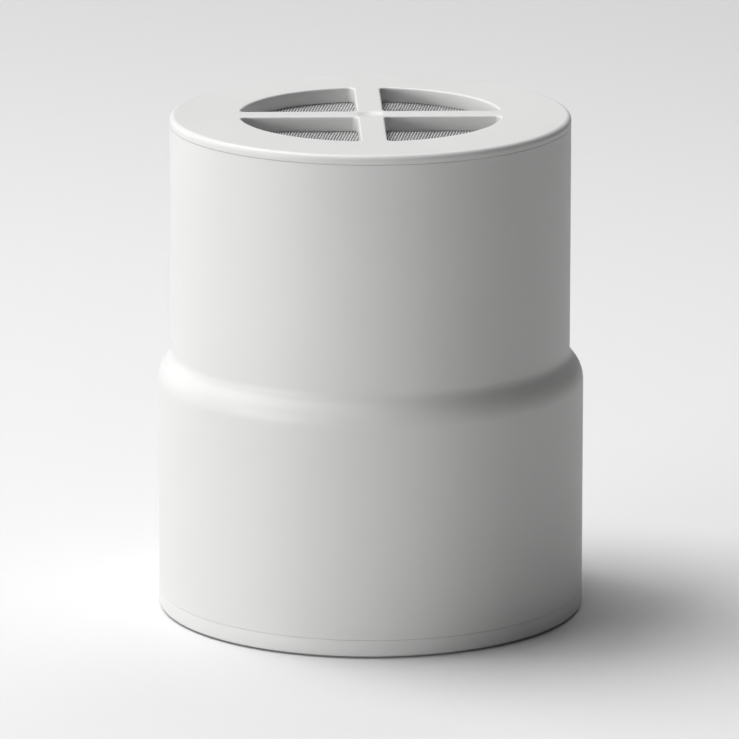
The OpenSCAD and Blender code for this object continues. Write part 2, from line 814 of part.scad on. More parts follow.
module fan_cable() {
    color("dimgray") sweep(cable_route, cable_d / 2, 8);
}

module cable_grommet() {
    lip_t = 1;
    hole_r = cable_d / 2 + 0.2;
    color("black") translate([0, grommet_at, 0]) {
        ring(hole_r, grommet_r - 2 * slip, deck_t, deck_z);
        for (z = [deck_top, deck_z - lip_t]) ring(hole_r, grommet_r + 1, lip_t, z);
    }
}

module cable_plugs() {
    color("ivory") {
        translate([plug_at[0], plug_at[1], plug_at[2]]) cube(plug_size, center = true);
        translate([0, socket_y, socket_z]) cube(plug_size, center = true);
    }
}

// ---------- top cover ----------

// One of the four openings, with its three corners rounded
module quadrant() {
    side = bar_w / 2;
    near = side + corner_r;
    far = sqrt(pow(outlet_r - corner_r, 2) - pow(near, 2));
    spread = 2 * outlet_r / norm([near, far]);
    intersection() {
        circle(r = outlet_r);
        polygon([[near, near], [far, near], spread * [far, near], spread * [far, far],
                 spread * [near, far], [near, far]]);
    }
    translate([side, near]) square([corner_r, far - near]);
    translate([near, side]) square([far - near, corner_r]);
    for (c = [[near, near], [near, far], [far, near]]) translate(c) circle(r = corner_r);
}

module top_cover() {
    edge = arc([head_r - cover_edge_r, total_h - cover_edge_r], cover_edge_r, 90, 0);
    inset = 1;
    chamfer = 0.6;
    groove_h = ring_r + 2 * slip;
    dimple_r = (pow(dimple_d / 2, 2) + pow(dimple_depth, 2)) / (2 * dimple_depth);
    color("whitesmoke") difference() {
        union() {
            rotate_extrude() polygon(concat(
                [[outlet_r - inset, total_h]], edge,
                [[head_r, cover_z], [skirt_r, cover_z], [skirt_r, ring_z + groove_h],
                 [ring_seat_r - ring_r, ring_z + groove_h], [ring_seat_r - ring_r, ring_z - groove_h],
                 [skirt_r, ring_z - groove_h], [skirt_r, cover_z - skirt_h + chamfer],
                 [skirt_r - chamfer, cover_z - skirt_h], [skirt_r - skirt_t, cover_z - skirt_h],
                 [skirt_r - skirt_t, cover_under], [outlet_r + rim_w, cover_under],
                 [outlet_r + rim_w, lip_z], [outlet_r - inset, lip_z]]
            ));
            translate([0, 0, lip_z]) cylinder(r = outlet_r - inset / 2, h = outlet_depth);
            around(4, cover_boss_r, magnet_a0) translate([0, 0, retainer_top])
                cylinder(r = boss_r, h = cover_under - retainer_top + cut);
        }
        for (a = [0:90:270]) rotate(a) translate([0, 0, lip_z - cut])
            linear_extrude(outlet_depth + 2 * cut) quadrant();
        translate([0, 0, total_h - dimple_depth + dimple_r]) sphere(r = dimple_r);
        around(4, cover_boss_r, magnet_a0) translate([0, 0, retainer_z])
            cylinder(r = retainer_screw_r + slip, h = retainer_screw_l + 0.9);
    }
}

module outlet_mesh() {
    color("silver") translate([0, 0, lip_z - mesh_t]) cylinder(r = mesh_r, h = mesh_t);
}

module mesh_retainer() {
    color("gainsboro") difference() {
        ring(outlet_r, cover_boss_r + boss_r, retainer_t, retainer_z);
        around(4, cover_boss_r, magnet_a0) translate([0, 0, retainer_z - cut])
            cylinder(r = retainer_screw_r + clear, h = retainer_t + 2 * cut);
    }
}

module retainer_screws() {
    color("silver") around(4, cover_boss_r, magnet_a0) translate([0, 0, retainer_z])
        mirror([0, 0, 1]) screw(retainer_screw_r, retainer_screw_l, 2.4, 1.5);
}

module cover_seal() {
    color("dimgray") translate([0, 0, ring_z]) rotate_extrude() translate([ring_seat_r + slip, 0])
        circle(r = ring_r);
}

// ---------- impeller ----------

module impeller() {
    color("gainsboro") {
        difference() {
            translate([0, 0, impeller_z]) cylinder(r = hub_r, h = impeller_h - 1);
            translate([0, 0, impeller_z + hub_floor]) cylinder(r = cup_r + press, h = impeller_h);
            translate([0, 0, shaft_z]) cylinder(r = shaft_r + press, h = impeller_h);
        }
        for (i = [0:blades - 1]) rotate(i * 360 / blades)
            blade(hub_r - blade_root, tip_r, impeller_z + blade_root, impeller_z + impeller_h - 2,
                  62, 40, 2.2, 4, 8);
    }
}

module rotor_cup() {
    z = impeller_z + hub_floor;
    color("silver") difference() {
        translate([0, 0, z]) cylinder(r = cup_r, h = impeller_h - hub_floor - 3);
        translate([0, 0, z + cup_t]) cylinder(r = rotor_magnet_r, h = impeller_h);
        translate([0, 0, z - cut]) cylinder(r = shaft_r + press, h = cup_t + 2 * cut);
    }
}

module rotor_magnets() {
    z = impeller_z + hub_floor + cup_t + 1.5;
    h = impeller_h - hub_floor - cup_t - 6;
    color("dimgray") ring(rotor_magnet_r - rotor_magnet_t, rotor_magnet_r - press, h, z);
}

module motor_shaft() {
    color("silver") translate([0, 0, shaft_z]) cylinder(r = shaft_r, h = duct_top + 2 - shaft_z);
}

module shaft_clip() {
    clip_t = 0.7;
    mouth_w = 1;
    color("dimgray") difference() {
        ring(shaft_r + press, bearing_r - 0.5, clip_t, duct_top + 0.4);
        translate([0, -mouth_w / 2, duct_top]) cube([bearing_r, mouth_w, 1 + clip_t]);
    }
}

// ---------- button ----------

module power_button() {
    stem_r = 2.2;
    collar_r = button_r + 1.2;
    collar_t = 1.2;
    collar_y = sqrt(pow(bore_r, 2) - pow(collar_r, 2)) - clear - collar_t;
    color("whitesmoke") {
        at_back(collar_y, button_z, button_face - collar_y) circle(r = button_r);
        at_back(collar_y, button_z, collar_t) circle(r = collar_r);
        at_back(button_face - button_len, button_z, button_len - 2) circle(r = stem_r);
    }
}

base_tray();
rubber_foot();
base_magnets();
filter_seat();
filter_bottom_cap();
filter_top_cap();
filter_pleats();
prefilter_sleeve();
carbon_core();
filter_gasket();
filter_pull_tab();
outer_shell();
keeper_plates();
fan_deck();
deck_screws();
inlet_guard();
duct_gasket();
duct_bushes();
fan_duct();
duct_screws();
acoustic_foam();
guide_vanes();
vane_screws();
hub_cone();
motor_core();
motor_coils();
motor_board();
motor_bearings();
outlet_duct();
outlet_screws();
board_bracket();
control_board();
board_chips();
board_screws();
tact_switch();
usb_socket();
usb_tongue();
status_lens();
fan_cable();
cable_grommet();
cable_plugs();
top_cover();
outlet_mesh();
mesh_retainer();
retainer_screws();
cover_seal();
impeller();
rotor_cup();
rotor_magnets();
motor_shaft();
shaft_clip();
power_button();
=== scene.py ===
"""Fine shapes, finishes and studio for a tabletop air purifier.

The packed model is the frame: it gives every place and every body. This script
adds the pieces that a fine look needs (rounded cover, base, woven outlet mesh,
smooth fan), gives each part its finish, and sets the stage.
"""

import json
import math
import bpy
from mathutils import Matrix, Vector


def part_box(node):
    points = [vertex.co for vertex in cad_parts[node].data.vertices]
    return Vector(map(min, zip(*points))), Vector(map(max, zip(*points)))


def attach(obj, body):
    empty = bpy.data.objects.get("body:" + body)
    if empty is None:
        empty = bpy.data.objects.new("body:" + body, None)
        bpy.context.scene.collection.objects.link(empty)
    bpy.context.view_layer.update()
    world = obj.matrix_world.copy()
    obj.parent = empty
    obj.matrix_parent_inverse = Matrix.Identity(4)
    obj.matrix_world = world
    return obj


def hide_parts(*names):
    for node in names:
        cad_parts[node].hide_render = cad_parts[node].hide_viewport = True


bl_info = {
    "name": "Tabletop air purifier",
    "version": (1, 0, 0),
    "blender": (4, 5, 0),
    "location": "3D View > Sidebar > Purifier",
    "description": "Builds the fine pieces, finishes and studio of a tabletop air purifier",
    "category": "Object",
}

import bmesh
import bpy
from bpy.props import FloatProperty, FloatVectorProperty, IntProperty, PointerProperty
from mathutils import Matrix, Vector
from mathutils.geometry import delaunay_2d_cdt

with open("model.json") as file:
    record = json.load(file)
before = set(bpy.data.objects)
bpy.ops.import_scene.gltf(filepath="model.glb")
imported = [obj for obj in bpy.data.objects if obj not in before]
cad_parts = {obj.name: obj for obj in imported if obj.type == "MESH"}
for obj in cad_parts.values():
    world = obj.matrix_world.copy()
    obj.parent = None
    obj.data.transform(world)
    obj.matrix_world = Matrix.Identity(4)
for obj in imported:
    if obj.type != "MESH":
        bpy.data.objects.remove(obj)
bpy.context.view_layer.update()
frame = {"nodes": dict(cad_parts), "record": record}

MM = 0.001
SENSOR_WIDTH = 36.0
SHARP_EDGE = math.radians(32.0)
QUARTER, EIGHTH = math.pi / 2.0, math.pi / 4.0

# Points round each kind of turned shape
DISH_SEGMENTS = 64
SCREW_SEGMENTS = 40
POST_SEGMENTS = 48
HUB_SEGMENTS = 128
DUCT_SEGMENTS = 192

BLADE_END = 0.3
SLEEVE_RADIUS = 65.5 * MM
FLOOR_REACH = 9.0


# ---------- settings ----------


def length(name, description, default_mm):
    """A length setting, given in millimetres and kept in metres."""
    return FloatProperty(name=name, description=description, default=default_mm * MM, min=0.0, unit="LENGTH",
                         precision=5)


def angle(name, description, default_degrees):
    """An angle setting, given in degrees and kept in radians."""
    return FloatProperty(name=name, description=description, default=math.radians(default_degrees),
                         subtype="ANGLE")


def colour(name, description, red_green_blue):
    """A colour setting."""
    return FloatVectorProperty(name=name, description=description, subtype="COLOR", default=red_green_blue,
                               min=0.0, max=1.0)


def watts(name, description, default):
    """The power setting of a light."""
    return FloatProperty(name=name, description=description, default=default, min=0.0, unit="POWER")


class CoverSettings(bpy.types.PropertyGroup):
    """Shape of the top cover."""

    edge_radius: length("Edge radius", "Rounding of the cover's outer edge", 2.0)
    edge_height: length("Edge height", "Visible height of the cover's edge", 3.4)
    seam_cover: length("Seam cover", "How far a soft lip closes the seams below the cover and above the base",
                       0.3)
    seam_lip: length("Seam lip", "How far that lip reaches inwards", 1.2)
    plate: length("Plate", "Thickness of the cover's plate", 2.8)
    outlet_radius: length("Outlet radius", "Radius of the round outlet", 52.0)
    outlet_depth: length("Outlet depth", "Depth of the outlet's wall and of the cross", 6.0)
    collar: length("Collar", "Thickness of the outlet's wall", 2.5)
    bar_width: length("Bar width", "Width of each bar of the cross", 10.4)
    corner_radius: length("Corner radius", "Rounding of the openings' corners, seen from above", 2.5)
    lip_radius: length("Lip radius", "Rounding of the openings' upper edge", 0.8)
    dimple_radius: length("Dimple radius", "Radius of the dimple in the middle of the cross", 5.2)
    dimple_depth: length("Dimple depth", "Depth of the dimple", 1.3)
    skirt_height: length("Skirt height", "Length of the skirt that plugs into the shell", 6.0)
    skirt_wall: length("Skirt wall", "Thickness of the skirt", 2.5)
    skirt_chamfer: length("Skirt chamfer", "Chamfer that leads the skirt in", 0.6)
    seal_depth: length("Seal depth", "Depth of the seal's groove in the skirt", 1.65)
    seal_height: length("Seal height", "Height of the seal's groove", 2.0)
    seal_lift: length("Seal lift", "How far the groove stands above the skirt's middle", 0.4)
    clearance: length("Clearance", "Gap between the skirt and the shell", 0.3)
    shell_wall: length("Shell wall", "Wall of the outer shell", 2.5)
    boss_radius: length("Boss radius", "Radius of the screw bosses under the cover", 3.4)
    boss_hole: length("Boss hole", "Radius of their screw holes", 1.25)
    boss_floor: length("Boss floor", "How far the screw holes reach into the plate", 0.5)
    boss_place: length("Boss place", "Distance of the bosses from the middle", 60.6)
    segments: IntProperty(name="Segments", description="Points round the cover", default=288, min=64)


class MeshSettings(bpy.types.PropertyGroup):
    """The woven outlet mesh."""

    pitch: length("Pitch", "Distance between two wires", 1.15)
    warp: length("Warp", "Diameter of the wires that show", 0.44)
    weft: length("Weft", "Diameter of the wires that cross them", 0.12)
    radius: length("Radius", "Radius of the disc of mesh", 52.6)
    turn: angle("Turn", "Angle between the wires and the cross", -8.0)
    steps: IntProperty(name="Steps", description="Points along a wire for each crossing", default=3, min=2)
    sides: IntProperty(name="Sides", description="Sides of a wire's section", default=5, min=3)


class BaseSettings(bpy.types.PropertyGroup):
    """Shape of the base."""

    edge_radius: length("Edge radius", "Rounding of the base's lower edge", 1.3)
    height: length("Height", "Visible height of the base", 6.6)
    floor: length("Floor", "Thickness of the base's floor", 2.4)
    wall: length("Wall", "Wall of the spigot, and of the shell outside it", 2.5)
    clearance: length("Clearance", "Gap between the spigot and the shell", 0.3)
    post_radius: length("Post radius", "Radius of the magnet posts", 6.0)
    post_place: length("Post place", "Distance of the magnet posts from the middle", 75.1)
    post_drop: length("Post drop", "How far the magnet posts stop below the spigot's top", 0.4)
    post_chamfer: length("Post chamfer", "Chamfer round the magnet posts' tops", 0.4)
    spigot_chamfer: length("Spigot chamfer", "Chamfer that leads the spigot in", 0.5)
    magnet_radius: length("Magnet radius", "Radius of the magnets' pockets", 4.05)
    magnet_depth: length("Magnet depth", "Depth of the magnets' pockets", 3.0)
    foot_inner: length("Foot inner", "Inner radius of the foot's groove", 60.9)
    foot_outer: length("Foot outer", "Outer radius of the foot's groove", 73.1)
    foot_groove: length("Foot groove", "Depth of the foot's groove", 1.4)
    locator_radius: length("Locator radius", "Radius of the ring that centres the filter", 33.1)
    locator_height: length("Locator height", "Top of that ring, from the floor", 6.9)
    locator_wall: length("Locator wall", "Wall of that ring", 2.0)
    segments: IntProperty(name="Segments", description="Points round the base", default=288, min=64)


class FanSettings(bpy.types.PropertyGroup):
    """Impeller and guide vane ring."""

    blades: IntProperty(name="Blades", description="Number of fan blades", default=7, min=3)
    vanes: IntProperty(name="Vanes", description="Number of guide vanes", default=9, min=3)
    hub_radius: length("Hub radius", "Radius of the fan's hub", 22.0)
    hub_wall: length("Hub wall", "Wall of the hub", 2.0)
    hub_floor: length("Hub floor", "Floor of the hub", 2.4)
    tip_radius: length("Tip radius", "Radius of the blade tips", 56.44)
    duct_radius: length("Duct radius", "Inner radius of the fan duct", 57.64)
    duct_wall: length("Duct wall", "Wall of the fan duct", 2.4)
    shaft_radius: length("Shaft radius", "Radius of the motor shaft", 2.0)
    bearing_radius: length("Bearing radius", "Radius of the bearings' seat", 3.97)
    tube_wall: length("Tube wall", "Wall of the bearing tube", 1.28)
    motor_plate: length("Motor plate", "Thickness of the plate that holds the motor", 3.0)
    nose_radius: length("Nose radius", "Rounding of the hub's lower edge", 1.5)
    edge: length("Edge", "Small chamfers of the hub and the ring", 0.5)
    root: length("Root", "How far a blade or vane reaches into the wall that it joins", 0.6)
    blade_thick: length("Blade thickness", "Greatest thickness of a blade", 2.2)
    blade_low: length("Blade low", "Foot of the blades above the impeller's lowest point", 0.6)
    blade_high: length("Blade high", "Top of the blades or vanes below the hub's top", 1.0)
    blade_lean: angle("Blade lean", "Turn of a blade between foot and top, at the hub", 62.0)
    tip_lean: angle("Tip lean", "Turn of a blade between foot and top, at the tip", 40.0)
    vane_thick: length("Vane thickness", "Greatest thickness of a vane", 2.0)
    vane_low: length("Vane low", "Foot of the vanes above the ring's foot", 1.0)
    vane_lean: angle("Vane lean", "Turn of a vane between foot and top, at the hub", -26.0)
    rim_lean: angle("Rim lean", "Turn of a vane between foot and top, at the ring", -14.0)
    ear_radius: length("Ear radius", "Radius of the ring's screw ears", 3.4)
    ear_height: length("Ear height", "Height of the ears", 5.0)
    ear_hole: length("Ear hole", "Radius of the ears' screw holes", 1.7)
    ear_place: length("Ear place", "Distance of the ears from the ring's outside", 2.6)
    ear_turn: angle("Ear turn", "Turn of the first ear", 22.5)


class FinishSettings(bpy.types.PropertyGroup):
    """Colours."""

    body: colour("Body", "Colour of the shell, cover, base and button", (0.62, 0.62, 0.615))
    inside: colour("Inside", "Colour of the deck, ducts and brackets", (0.13, 0.13, 0.135))
    fan: colour("Fan", "Colour of the impeller", (0.10, 0.10, 0.105))
    weave: colour("Weave", "Colour of the outlet mesh", (0.80, 0.80, 0.80))
    filter_caps: colour("Filter caps", "Colour of the filter's end caps", (0.42, 0.52, 0.47))
    pleats: colour("Pleats", "Colour of the filter paper", (0.86, 0.86, 0.82))
    sleeve: colour("Sleeve", "Colour of the net round the filter", (0.62, 0.65, 0.66))
    tab: colour("Tab", "Colour of the filter's pull tab", (0.06, 0.16, 0.36))


class StageSettings(bpy.types.PropertyGroup):
    """Camera and light."""

    azimuth: angle("Azimuth", "Turn of the camera round the object", -1.7)
    elevation: angle("Elevation", "Height of the camera above the horizon", 13.93)
    distance: FloatProperty(name="Distance", description="Camera to target", default=2.8093, unit="LENGTH")
    target_height: length("Target height", "Height of the point the camera looks at", 95.6)
    lens: FloatProperty(name="Lens", description="Focal length in millimetres on a 36 mm sensor",
                        default=342.5)
    side_shift: FloatProperty(name="Side shift", description="Sideways shift, in picture widths",
                              default=-0.00135)
    light_distance: FloatProperty(name="Light distance", description="Lights to target", default=3.6,
                                  unit="LENGTH")
    floor: colour("Floor", "Colour of the floor near the object", (0.70, 0.70, 0.70))
    # Painted shade: the floor far behind is coloured darker, standing in for light falling off towards the
    # back.
    backdrop: colour("Backdrop", "Colour of the floor far behind", (0.58, 0.58, 0.585))
    ambient: FloatProperty(name="Ambient", description="Strength of the even light all round", default=0.02)
    key: watts("Key", "Power of the light high up on the left", 144.0)
    top: watts("Top", "Power of the light overhead", 9.0)
    fill: watts("Fill", "Power of the low light in front on the left", 69.0)
    front: watts("Front", "Power of the low light in front", 6.0)
    side: watts("Side", "Power of the low light behind on the left", 11.0)
    back: watts("Back", "Power of the light up behind", 19.0)
    right: watts("Right", "Power of the light up behind on the right", 14.0)


# ---------- shader arithmetic ----------


class Value:
    """A socket of a shader or geometry node tree that takes part in plain arithmetic."""

    def __init__(self, tree, socket):
        self.tree = tree
        self.socket = socket

    def math(self, operation, *others):
        places = dict(enumerate((self, *others)))
        return output(self.tree, "ShaderNodeMath", {"operation": operation}, places)

    def __add__(self, other):
        return self.math("ADD", other)

    def __sub__(self, other):
        return self.math("SUBTRACT", other)

    def __mul__(self, other):
        return self.math("MULTIPLY", other)

    def __truediv__(self, other):
        return self.math("DIVIDE", other)

    def __neg__(self):
        return self.math("MULTIPLY", -1.0)

    def __radd__(self, other):
        return self.math("ADD", other)

    def __rsub__(self, other):
        return (-self).math("ADD", other)

    def __rmul__(self, other):
        return self.math("MULTIPLY", other)

    def __rtruediv__(self, other):
        return self.math("POWER", -1.0) * other

    def absolute(self):
        return self.math("ABSOLUTE")

    def sine(self):
        return self.math("SINE")

    def step(self, low, high):
        """0 below low, 1 above high, smooth between."""
        return output(self.tree, "ShaderNodeMapRange", {"interpolation_type": "SMOOTHSTEP"},
                      {"Value": self, "From Min": low, "From Max": high})


def join(tree, value, socket):
    """Links a Value to a socket, or sets the socket to a constant."""
    if isinstance(value, Value):
        tree.links.new(value.socket, socket)
    else:
        socket.default_value = value


def add_node(tree, kind, settings, sockets):
    """Adds a node: its settings first, then the value or link of each socket, by name or number."""
    node = tree.nodes.new(kind)
    for key, value in settings.items():
        setattr(node, key, value)
    for key, value in sockets.items():
        join(tree, value, node.inputs[key])
    return node


def output(tree, kind, settings, sockets, key=0):
    """Adds a node and returns one of its outputs."""
    return Value(tree, add_node(tree, kind, settings, sockets).outputs[key])


# Numbers of the colour sockets of a Mix node
MIX_FIRST, MIX_SECOND, MIX_RESULT = 6, 7, 2


class Finish:
    """Builds one material on a Principled shader, with textures that follow the object's own space."""

    def __init__(self, name):
        self.material = bpy.data.materials.new(name)
        self.material.use_nodes = True
        self.tree = self.material.node_tree
        self.shader = self.tree.nodes["Principled BSDF"]
        self.place = output(self.tree, "ShaderNodeTexCoord", {}, {}, "Object")

    def axes(self):
        """The object's x, y and z as three values."""
        node = add_node(self.tree, "ShaderNodeSeparateXYZ", {}, {0: self.place})
        return [Value(self.tree, out) for out in node.outputs]

    def stretched(self, scale):
        """The object's space, scaled unevenly."""
        return output(self.tree, "ShaderNodeMapping", {}, {"Vector": self.place, "Scale": scale})

    def noise(self, scale, detail=3.0, roughness=0.5, space=None):
        return output(self.tree, "ShaderNodeTexNoise", {}, {
            "Vector": space or self.place, "Scale": scale, "Detail": detail, "Roughness": roughness,
        }, "Fac")

    def cells(self, scale):
        sockets = {"Vector": self.place, "Scale": scale}
        return output(self.tree, "ShaderNodeTexVoronoi", {}, sockets, "Distance")

    def mix(self, factor, first, second):
        """A colour between first and second."""
        colours = [c if isinstance(c, Value) else (*c, 1.0) for c in (first, second)]
        return output(self.tree, "ShaderNodeMix", {"data_type": "RGBA"},
                      {"Factor": factor, MIX_FIRST: colours[0], MIX_SECOND: colours[1]}, MIX_RESULT)

    def set(self, socket, value):
        join(self.tree, value, self.shader.inputs[socket])

    def bump(self, height, depth):
        """Raises the surface by height times depth, in metres."""
        sockets = {"Strength": 1.0, "Distance": depth, "Height": height}
        self.set("Normal", output(self.tree, "ShaderNodeBump", {}, sockets))
        return self


def tint(colour, factor):
    """The colour made lighter or darker."""
    return tuple(min(1.0, channel * factor) for channel in colour)


def plastic(name, colour, roughness, grain=1800.0, depth=0.004 * MM):
    """Moulded plastic with a fine spark-eroded grain and a slight flow mottle."""
    look = Finish(name)
    flow = look.noise(14.0, 2.0)
    fine = look.noise(grain, 2.0, 0.6)
    smudge = look.noise(45.0, 4.0, 0.6).step(0.45, 0.75)
    look.set("Base Color", look.mix(flow.step(0.3, 0.7), tint(colour, 0.985), tint(colour, 1.01)))
    look.set("Roughness", roughness + (flow - 0.5) * 0.05 + smudge * 0.03)
    look.set("Specular IOR Level", 0.5)
    return look.bump(fine, depth).material


def rubber(name, colour):
    """Soft rubber with a dull, slightly dusty skin."""
    look = Finish(name)
    dust = look.noise(160.0, 5.0, 0.65).step(0.5, 0.8)
    look.set("Base Color", look.mix(dust, colour, tint(colour, 1.6)))
    look.set("Roughness", 0.62 + dust * 0.2)
    return look.bump(look.noise(2400.0, 2.0), 0.02 * MM).material


def foam(name, colour):
    """Open-cell foam: small pits all over, with painted shade deep in them."""
    look = Finish(name)
    pits = look.cells(900.0)
    # Painted shade: the colour is darker where the pits are deeper, following the bump below.
    look.set("Base Color", look.mix(pits.step(0.1, 0.6), tint(colour, 1.5), tint(colour, 0.5)))
    look.set("Roughness", 0.95)
    return look.bump(pits, -0.4 * MM).material


def paper(name, colour):
    """Fibrous filter paper."""
    look = Finish(name)
    fibres = look.noise(900.0, 4.0, 0.7, look.stretched((1.0, 1.0, 0.35)))
    look.set("Base Color", look.mix(fibres.step(0.35, 0.7), tint(colour, 0.9), colour))
    look.set("Roughness", 0.9)
    return look.bump(fibres, 0.08 * MM).material


def ribbed_cloth(name, colour, pitch):
    """A knitted net on an upright cylinder: small holes in rows, with painted shade in the holes."""
    look = Finish(name)
    x, y, z = look.axes()
    turn = y.math("ARCTAN2", x)
    around = (turn * (SLEEVE_RADIUS * math.pi / pitch)).sine()
    upwards = (z * (math.pi / pitch)).sine()
    thread = 1.0 - (around * upwards).absolute()
    # Painted shade: the holes, where the bump is low, are coloured darker.
    look.set("Base Color", look.mix(thread.step(0.35, 0.6), tint(colour, 0.35), colour))
    look.set("Roughness", 0.85)
    return look.bump(thread, 0.3 * MM).material


def granules(name, colour):
    """Carbon granules held in a honeycomb, with painted shade in the low gaps between them."""
    look = Finish(name)
    grains = look.cells(420.0)
    # Painted shade: the colour is darker in the low gaps between grains, where the bump is deepest, and
    # lighter on their tops.
    look.set("Base Color", look.mix(grains.step(0.1, 0.7), tint(colour, 2.2), tint(colour, 0.4)))
    look.set("Roughness", 0.55 + grains * 0.4)
    return look.bump(grains, -0.8 * MM).material


def metal(name, colour, roughness, brushed=(1.0, 1.0, 12.0)):
    """Metal with fine drawn lines along one direction."""
    look = Finish(name)
    lines = look.noise(700.0, 3.0, 0.6, look.stretched(brushed))
    look.set("Base Color", look.mix(lines, tint(colour, 0.88), tint(colour, 1.06)))
    look.set("Metallic", 1.0)
    look.set("Roughness", roughness + (lines - 0.5) * 0.16)
    return look.bump(lines, 0.006 * MM).material


def ceramic(name, colour):
    """Sintered magnet: dull and finely speckled."""
    look = Finish(name)
    specks = look.noise(1300.0, 3.0, 0.7).step(0.55, 0.75)
    look.set("Base Color", look.mix(specks, colour, tint(colour, 1.8)))
    look.set("Roughness", 0.7)
    return look.bump(specks, 0.01 * MM).material


def laminate(name, colour):
    """Circuit board: coated laminate with paler tracks."""
    look = Finish(name)
    z = look.axes()[2]
    lanes = ((z + look.noise(60.0, 0.0) * 0.004) * 2600.0).sine().step(0.55, 0.75)
    look.set("Base Color", look.mix(lanes, colour, (colour[0] * 2.4, colour[1] * 1.7, colour[2] * 1.6)))
    look.set("Roughness", 0.32 + lanes * 0.08)
    look.set("Coat Weight", 0.4)
    return look.bump(lanes, 0.03 * MM).material


def wound_copper(name, colour):
    """Enamelled wire wound in close turns, with painted shade in the grooves between them."""
    look = Finish(name)
    z = look.axes()[2]
    turns = (z * (math.pi / (0.35 * MM))).sine().absolute()
    # Painted shade: the colour darkens in the grooves between turns, where the bump is lowest.
    look.set("Base Color", look.mix(turns, tint(colour, 0.45), colour))
    look.set("Metallic", 0.9)
    look.set("Roughness", 0.28)
    return look.bump(turns, 0.12 * MM).material


def thread(name, colour):
    """Smooth synthetic wire of the outlet mesh."""
    look = Finish(name)
    shade = look.noise(600.0, 2.0)
    look.set("Base Color", look.mix(shade, tint(colour, 0.92), tint(colour, 1.05)))
    look.set("Roughness", 0.42 + shade * 0.1)
    return look.bump(look.noise(5200.0, 1.0), 0.004 * MM).material


def frosted(name, colour):
    """Frosted light guide."""
    look = Finish(name)
    haze = look.noise(900.0, 3.0)
    look.set("Base Color", look.mix(haze, tint(colour, 0.93), colour))
    look.set("Roughness", 0.3 + haze * 0.15)
    look.set("Transmission Weight", 0.35)
    return look.bump(haze, 0.01 * MM).material


# Each record slot: how its finish is made, its colour or the setting that holds it, and other values
FINISHES = {
    "body_plastic": (plastic, "body", 0.48),
    "inner_plastic": (plastic, "inside", 0.5),
    "fan_plastic": (plastic, "fan", 0.36),
    "foot_rubber": (rubber, (0.045, 0.045, 0.046)),
    "seal_rubber": (rubber, (0.07, 0.07, 0.072)),
    "foam": (foam, (0.06, 0.06, 0.065)),
    "filter_cap_plastic": (plastic, "filter_caps", 0.5),
    "pleat_paper": (paper, "pleats"),
    "prefilter_fabric": (ribbed_cloth, "sleeve", 1.3 * MM),
    "carbon": (granules, (0.022, 0.022, 0.023)),
    "tab_fabric": (paper, "tab"),
    "mesh_fabric": (thread, "weave"),
    "steel": (metal, (0.56, 0.56, 0.57), 0.33),
    "nickel": (metal, (0.68, 0.66, 0.62), 0.18),
    "core_steel": (metal, (0.22, 0.23, 0.25), 0.42),
    "ferrite": (ceramic, (0.05, 0.05, 0.052)),
    "copper": (wound_copper, (0.72, 0.32, 0.14)),
    "board_laminate": (laminate, (0.012, 0.13, 0.045)),
    "component_black": (plastic, (0.02, 0.02, 0.021), 0.38),
    "connector_plastic": (plastic, (0.74, 0.70, 0.58), 0.35),
    "cable_jacket": (rubber, (0.02, 0.02, 0.021)),
    "lens_plastic": (frosted, (0.85, 0.90, 0.92)),
}


def finish_for(slot):
    """The material of a record slot, made once."""
    name = "finish_" + slot
    if name not in bpy.data.materials:
        make, colour_or_setting, *values = FINISHES[slot]
        if isinstance(colour_or_setting, str):
            colour_or_setting = tuple(getattr(bpy.context.scene.purifier_finish, colour_or_setting))
        make(name, colour_or_setting, *values)
    return bpy.data.materials[name]


def slot_of(node):
    """The record slot of a CAD node."""
    return next(s["material_slot"] for s in frame["record"]["subparts"] if s["node"] == node)


def body_of(node):
    """The body that a CAD node belongs to."""
    bodies = frame["record"]["behaviour"]["bodies"]
    return next(name for name, nodes in bodies.items() if node in nodes)


# ---------- shapes ----------


def arc(centre, radius, start, end, steps):
    """Points of an arc in a plane, from start to end degrees."""
    turns = [math.radians(start + (end - start) * i / steps) for i in range(steps + 1)]
    return [(centre[0] + radius * math.cos(t), centre[1] + radius * math.sin(t)) for t in turns]


def inside(point, loop):
    """Whether a flat point is inside a flat loop."""
    crossings = 0
    for (x0, y0), (x1, y1) in zip(loop, loop[1:] + loop[:1]):
        if (y0 > point[1]) != (y1 > point[1]) and point[0] < x0 + (point[1] - y0) * (x1 - x0) / (y1 - y0):
            crossings += 1
    return crossings % 2 == 1


